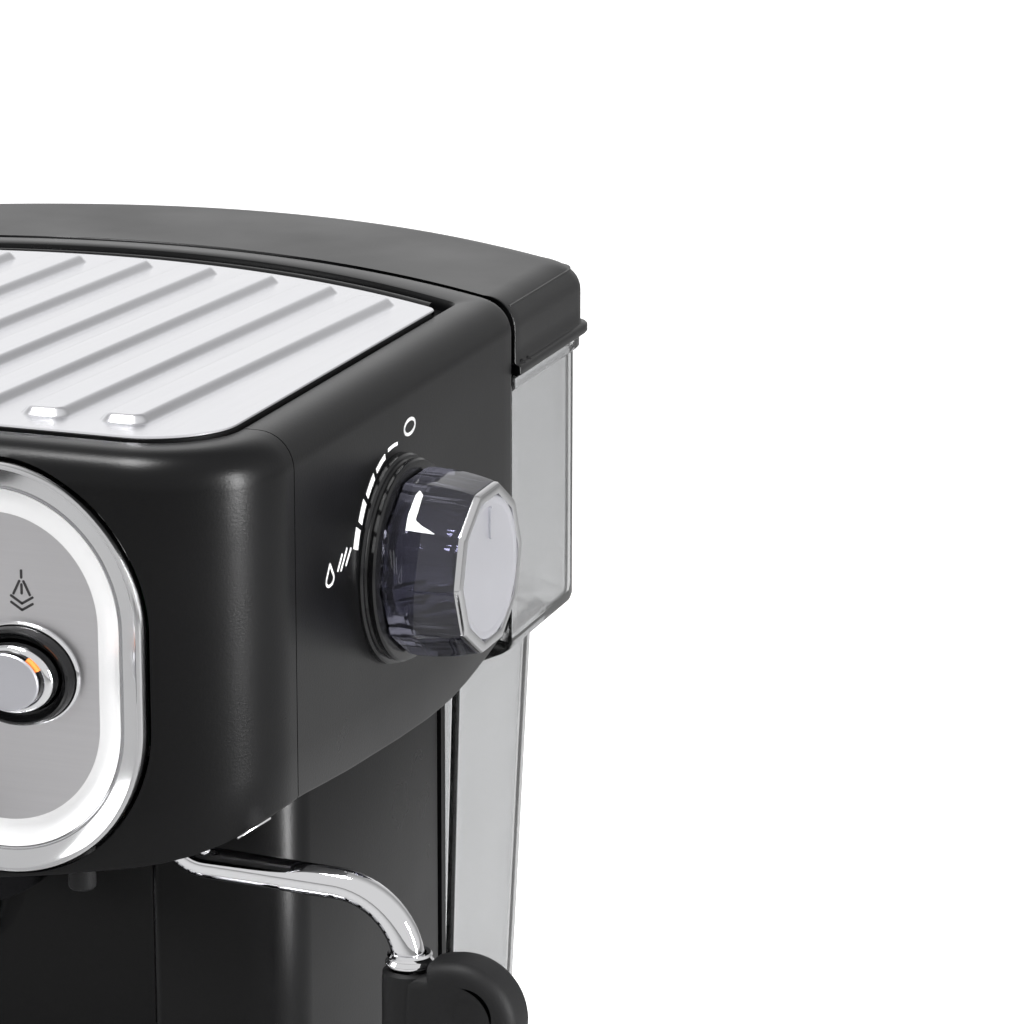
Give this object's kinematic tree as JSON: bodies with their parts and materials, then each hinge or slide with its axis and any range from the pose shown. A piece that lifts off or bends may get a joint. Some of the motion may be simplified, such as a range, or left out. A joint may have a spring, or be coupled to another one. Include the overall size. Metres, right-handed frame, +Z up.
{
  "type": "espresso machine",
  "caption": "Pump espresso machine with a ribbed cup-warming top, three-button steel panel, side steam knob and wand, filter holder, drip tray and rear water tank.",
  "frame": {"origin": "middle of the bounding box, on the surface the feet stand on", "axes": "+Z up, +X to the machine's right seen from the front, -Y to its front, where the filter holder's handle points"},
  "size_m": [0.2958, 0.38, 0.29],
  "materials": {
    "matte_black": "fine satin moulded black",
    "dark_grey": "satin moulded dark grey",
    "brushed_steel": "satin stainless sheet",
    "chrome": "polished",
    "clear_tank": "clear moulded, slightly frosted",
    "smoky_clear": "clear smoky facetted moulding",
    "black_metal": "black coated casting",
    "rubber": "soft black",
    "grip_black": "soft-touch black",
    "brass": "machined",
    "aluminium": "cast",
    "board": "coated circuit board",
    "white_hose": "flexible tube"
  },
  "bodies": {
    "body": {"head_front_shell": "matte_black", "head_side_shell": "matte_black", "head_underplate": "matte_black", "cup_warmer_plate": "brushed_steel", "front_panel": "brushed_steel", "power_button_ring": "matte_black", "brew_button_ring": "matte_black", "steam_button_ring": "matte_black", "control_board": "board", "column_shell": "matte_black", "column_back_panel": "matte_black", "base_housing": "matte_black", "base_underplate": "dark_grey", "foot_front_left": "rubber", "foot_front_right": "rubber", "foot_rear_left": "rubber", "foot_rear_right": "rubber", "tank_spigot": "brass", "group_head": "black_metal", "group_gasket": "rubber", "shower_screen": "brushed_steel", "shower_screw": "brushed_steel", "knob_skirt": "matte_black", "steam_valve": "brass", "wand_socket": "chrome", "boiler": "aluminium", "boiler_clamp_ring": "brushed_steel", "thermostat": "brass", "group_neck": "aluminium", "pump": "dark_grey", "pump_bracket": "brushed_steel", "suction_hose": "white_hose", "pressure_hose": "white_hose", "steam_pipe": "brass", "cord_gland": "rubber"},
    "power_button": {"power_button": "chrome"},
    "brew_button": {"brew_button": "chrome"},
    "steam_button": {"steam_button": "chrome"},
    "steam_knob": {"steam_knob": "smoky_clear", "knob_cap": "brushed_steel", "valve_stem": "brass"},
    "wand": {"steam_wand": "chrome", "wand_collar": "chrome", "wand_grip": "grip_black", "wand_tip": "chrome"},
    "tank": {"water_tank": "clear_tank", "tank_valve": "rubber", "lid_hinge_pin": "brushed_steel"},
    "lid": {"tank_lid": "dark_grey"},
    "drip_tray": {"drip_tray": "matte_black"},
    "drip_grid": {"drip_grid": "brushed_steel"},
    "filter_holder": {"filter_holder": "chrome", "filter_basket": "brushed_steel", "twin_spout": "chrome", "handle_ferrule": "chrome", "filter_holder_handle": "matte_black"}
  },
  "joints": [
    {"name": "power_button_press", "type": "slide", "parent": "body", "child": "power_button", "axis": [0, 1, 0], "range_m": [0, 0.003], "stiffness_N_per_m": 250},
    {"name": "brew_button_press", "type": "slide", "parent": "body", "child": "brew_button", "axis": [0, 1, 0], "range_m": [0, 0.003], "stiffness_N_per_m": 250},
    {"name": "steam_button_press", "type": "slide", "parent": "body", "child": "steam_button", "axis": [0, 1, 0], "range_m": [0, 0.003], "stiffness_N_per_m": 250},
    {"name": "steam_knob_turn", "type": "hinge", "parent": "body", "child": "steam_knob", "pos_m": [0.09539, 0.00265, 0.2474], "axis": [1, 0, 0], "range_deg": [0, 120]},
    {"name": "wand_swivel", "type": "hinge", "parent": "body", "child": "wand", "pos_m": [0.06439, -0.06435, 0.205], "axis": [0, 0, 1], "range_deg": [-60, 45]},
    {"name": "tank_pull", "type": "slide", "parent": "body", "child": "tank", "axis": [0, 1, 0], "range_m": [0, 0.13]},
    {"name": "tank_lid_hinge", "type": "hinge", "parent": "tank", "child": "lid", "pos_m": [-0.02761, 0.18705, 0.271], "axis": [-1, 0, 0], "range_deg": [0, 80]},
    {"name": "drip_tray_pull", "type": "slide", "parent": "body", "child": "drip_tray", "axis": [0, -1, 0], "range_m": [0, 0.13]},
    {"name": "drip_grid_lift", "type": "slide", "parent": "drip_tray", "child": "drip_grid", "axis": [0, 0, 1], "range_m": [0, 0.03]},
    {"name": "filter_holder_twist", "type": "hinge", "parent": "body", "child": "filter_holder", "pos_m": [-0.02761, -0.03235, 0.18], "axis": [0, 0, 1], "range_deg": [-45, 0]}
  ]
}
